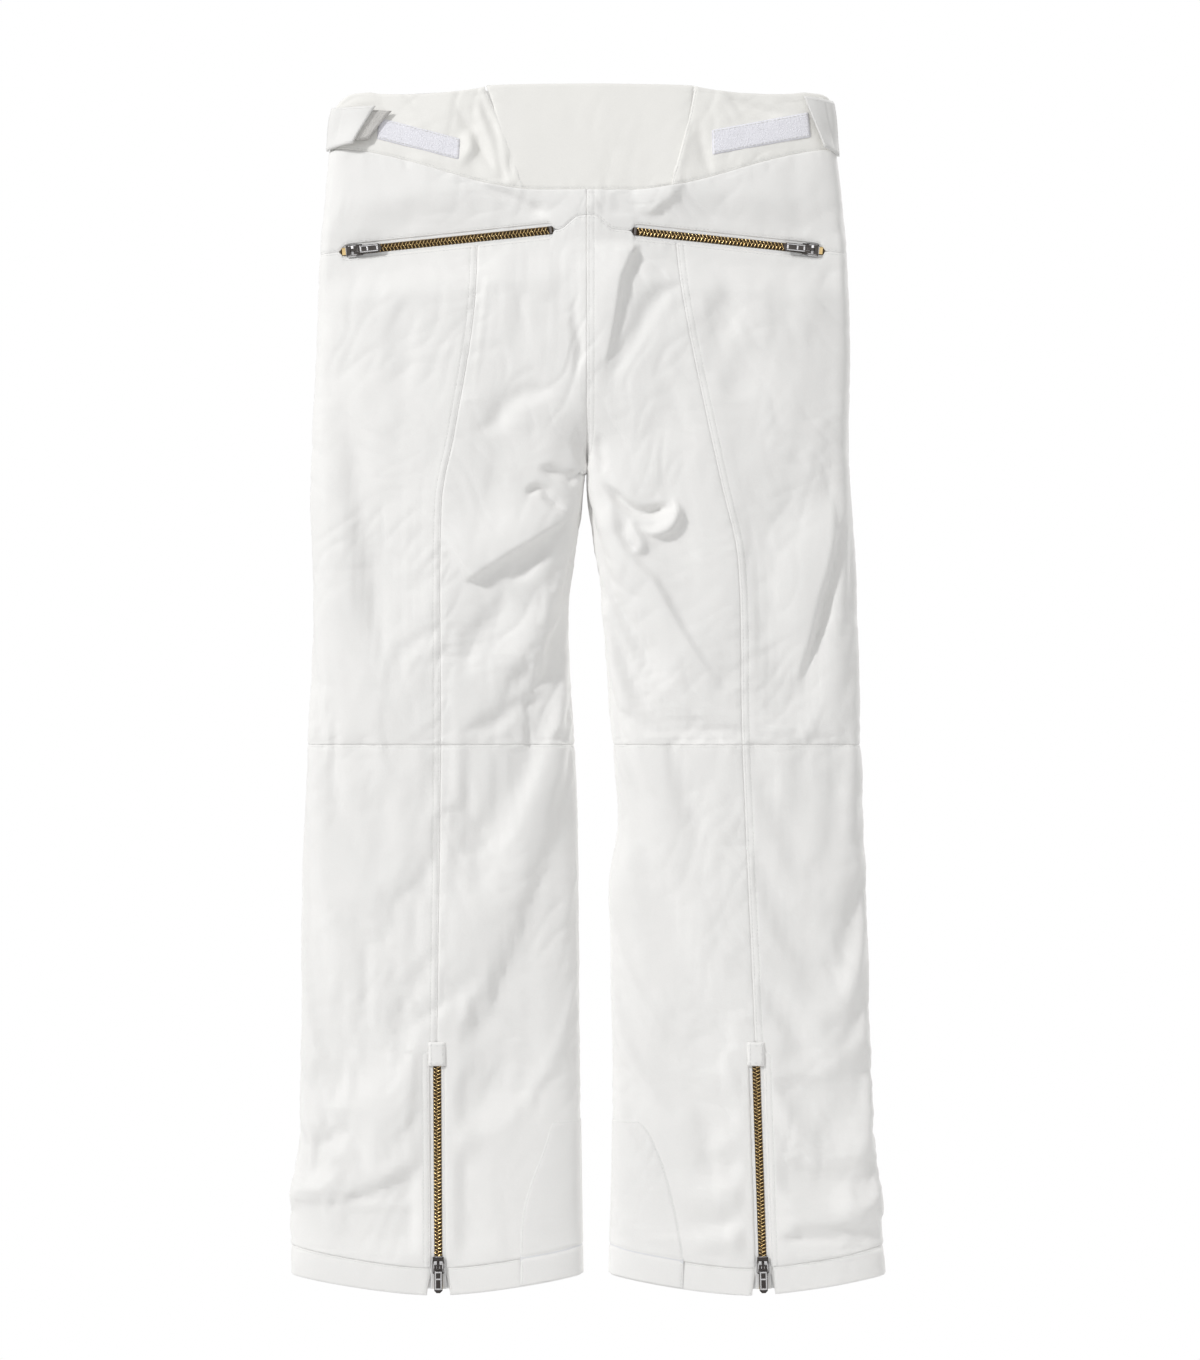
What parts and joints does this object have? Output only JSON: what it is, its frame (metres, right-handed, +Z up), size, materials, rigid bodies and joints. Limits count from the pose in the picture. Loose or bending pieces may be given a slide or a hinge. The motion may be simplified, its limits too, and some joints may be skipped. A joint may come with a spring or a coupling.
{
  "type": "ski pants",
  "caption": "Insulated ski pants with a stretch back waist, side adjuster tabs, back pockets and calf zips that slide, and knees that bend.",
  "frame": {"origin": "middle of the waist's top edge, halfway between the front and the back cloth, at the waist mount", "axes": "+Z up towards the waist as the pants hang, +Y out of the back, +X towards the wearer's left"},
  "size_m": [0.5123, 0.0697, 1.0395],
  "materials": {
    "shell_fabric": "matte white woven shell with a fine grain, sewn with tone-on-tone topstitching",
    "stretch_fabric": "smooth cream-white stretch weave, slightly satin",
    "loop_tape": "brushed loop tape, white with a lilac tint",
    "hook_tape": "moulded hook tape, warm grey",
    "lining_fabric": "light taffeta lining",
    "zip_chain": "polished brass teeth on white woven tape",
    "slider_metal": "polished nickel"
  },
  "bodies": {
    "pelvis": {"adjuster_strip_left": "loop_tape", "adjuster_strip_right": "loop_tape", "back_knee_left": "shell_fabric", "back_knee_right": "shell_fabric", "back_yoke_left": "shell_fabric", "back_yoke_right": "shell_fabric", "fly_zip": "zip_chain", "front_upper_left": "shell_fabric", "front_upper_right": "shell_fabric", "outer_thigh_left": "shell_fabric", "outer_thigh_right": "shell_fabric", "pocket_bag_left": "lining_fabric", "pocket_bag_right": "lining_fabric", "pocket_left_zip": "zip_chain", "pocket_right_zip": "zip_chain", "seat_and_inner_thigh_left": "shell_fabric", "seat_and_inner_thigh_right": "shell_fabric", "snap_socket": "slider_metal", "waistband_back_left": "stretch_fabric", "waistband_back_right": "stretch_fabric", "waistband_centre_back": "stretch_fabric", "waistband_front_left": "shell_fabric", "waistband_front_right": "shell_fabric"},
    "shin_left": {"calf_inner_left": "shell_fabric", "calf_outer_left": "shell_fabric", "front_shin_left": "shell_fabric", "hem_band_left": "shell_fabric", "scuff_guard_left": "shell_fabric", "snow_gaiter_left": "lining_fabric", "calf_gusset_left": "lining_fabric", "zip_garage_left": "shell_fabric", "calf_left_zip": "zip_chain"},
    "pocket_left_slider": {"pocket_left_slider": "slider_metal"},
    "pocket_left_pull": {"pocket_left_pull": "slider_metal"},
    "calf_left_slider": {"calf_left_slider": "slider_metal"},
    "calf_left_pull": {"calf_left_pull": "slider_metal"},
    "tab_left": {"adjuster_tab_left": "shell_fabric", "adjuster_hook_left": "hook_tape"},
    "shin_right": {"calf_inner_right": "shell_fabric", "calf_outer_right": "shell_fabric", "front_shin_right": "shell_fabric", "hem_band_right": "shell_fabric", "scuff_guard_right": "shell_fabric", "snow_gaiter_right": "lining_fabric", "calf_gusset_right": "lining_fabric", "zip_garage_right": "shell_fabric", "calf_right_zip": "zip_chain"},
    "pocket_right_slider": {"pocket_right_slider": "slider_metal"},
    "pocket_right_pull": {"pocket_right_pull": "slider_metal"},
    "calf_right_slider": {"calf_right_slider": "slider_metal"},
    "calf_right_pull": {"calf_right_pull": "slider_metal"},
    "tab_right": {"adjuster_tab_right": "shell_fabric", "adjuster_hook_right": "hook_tape"},
    "fly_slider": {"fly_slider": "slider_metal"},
    "fly_pull": {"fly_pull": "slider_metal"},
    "fly_flap": {"fly_flap": "shell_fabric", "snap_cap": "slider_metal"}
  },
  "joints": [
    {"name": "knee_left", "type": "hinge", "parent": "pelvis", "child": "shin_left", "pos_m": [0, 0, -0.568], "axis": [1, 0, 0], "range_deg": [0, 120], "deforming": ["back_knee_left"]},
    {"name": "pocket_left_zip_slide", "type": "slide", "parent": "pelvis", "child": "pocket_left_slider", "axis": [-0.9932, 0.0662, 0.0954], "range_m": [0, 0.1557]},
    {"name": "pocket_left_pull_flip", "type": "hinge", "parent": "pocket_left_slider", "child": "pocket_left_pull", "pos_m": [0.19982, 0.01894, -0.14366], "axis": [-0.0951, 0.0063, -0.9954], "range_deg": [0, 150]},
    {"name": "calf_left_zip_slide", "type": "slide", "parent": "shin_left", "child": "calf_left_slider", "axis": [0.0064, 0, 1], "range_m": [0, 0.1605]},
    {"name": "calf_left_pull_flip", "type": "hinge", "parent": "calf_left_slider", "child": "calf_left_pull", "pos_m": [0.12733, 0.02835, -1.0135], "axis": [1, 0, -0.0064], "range_deg": [0, 150]},
    {"name": "knee_right", "type": "hinge", "parent": "pelvis", "child": "shin_right", "pos_m": [0, 0, -0.568], "axis": [1, 0, 0], "range_deg": [0, 120], "deforming": ["back_knee_right"]},
    {"name": "pocket_right_zip_slide", "type": "slide", "parent": "pelvis", "child": "pocket_right_slider", "axis": [0.9927, 0.0735, 0.0953], "range_m": [0, 0.1377]},
    {"name": "pocket_right_pull_flip", "type": "hinge", "parent": "pocket_right_slider", "child": "pocket_right_pull", "pos_m": [-0.19185, 0.01901, -0.14289], "axis": [-0.095, -0.007, 0.9954], "range_deg": [0, 150]},
    {"name": "calf_right_zip_slide", "type": "slide", "parent": "shin_right", "child": "calf_right_slider", "axis": [0.0332, 0, 0.9995], "range_m": [0, 0.1606]},
    {"name": "calf_right_pull_flip", "type": "hinge", "parent": "calf_right_slider", "child": "calf_right_pull", "pos_m": [-0.15052, 0.02835, -1.01351], "axis": [0.9995, 0, -0.0332], "range_deg": [0, 150]},
    {"name": "fly_zip_slide", "type": "slide", "parent": "pelvis", "child": "fly_slider", "axis": [0, -0.045, -0.999], "range_m": [0, 0.1262]},
    {"name": "fly_pull_flip", "type": "hinge", "parent": "fly_slider", "child": "fly_pull", "pos_m": [0, -0.02624, -0.07182], "axis": [-1, 0, 0], "range_deg": [0, 4]},
    {"name": "fly_flap_open", "type": "hinge", "parent": "pelvis", "child": "fly_flap", "pos_m": [0.02, -0.02092, -0.00594], "axis": [0, 0.045, 0.999], "range_deg": [0, 90]},
    {"name": "tab_left_peel", "type": "hinge", "parent": "pelvis", "child": "tab_left", "pos_m": [0.22373, 0.00373, -0.04], "axis": [0, 0, -1], "range_deg": [0, 110]},
    {"name": "tab_right_peel", "type": "hinge", "parent": "pelvis", "child": "tab_right", "pos_m": [-0.21583, 0.00389, -0.04], "axis": [0, 0, 1], "range_deg": [0, 110]}
  ]
}
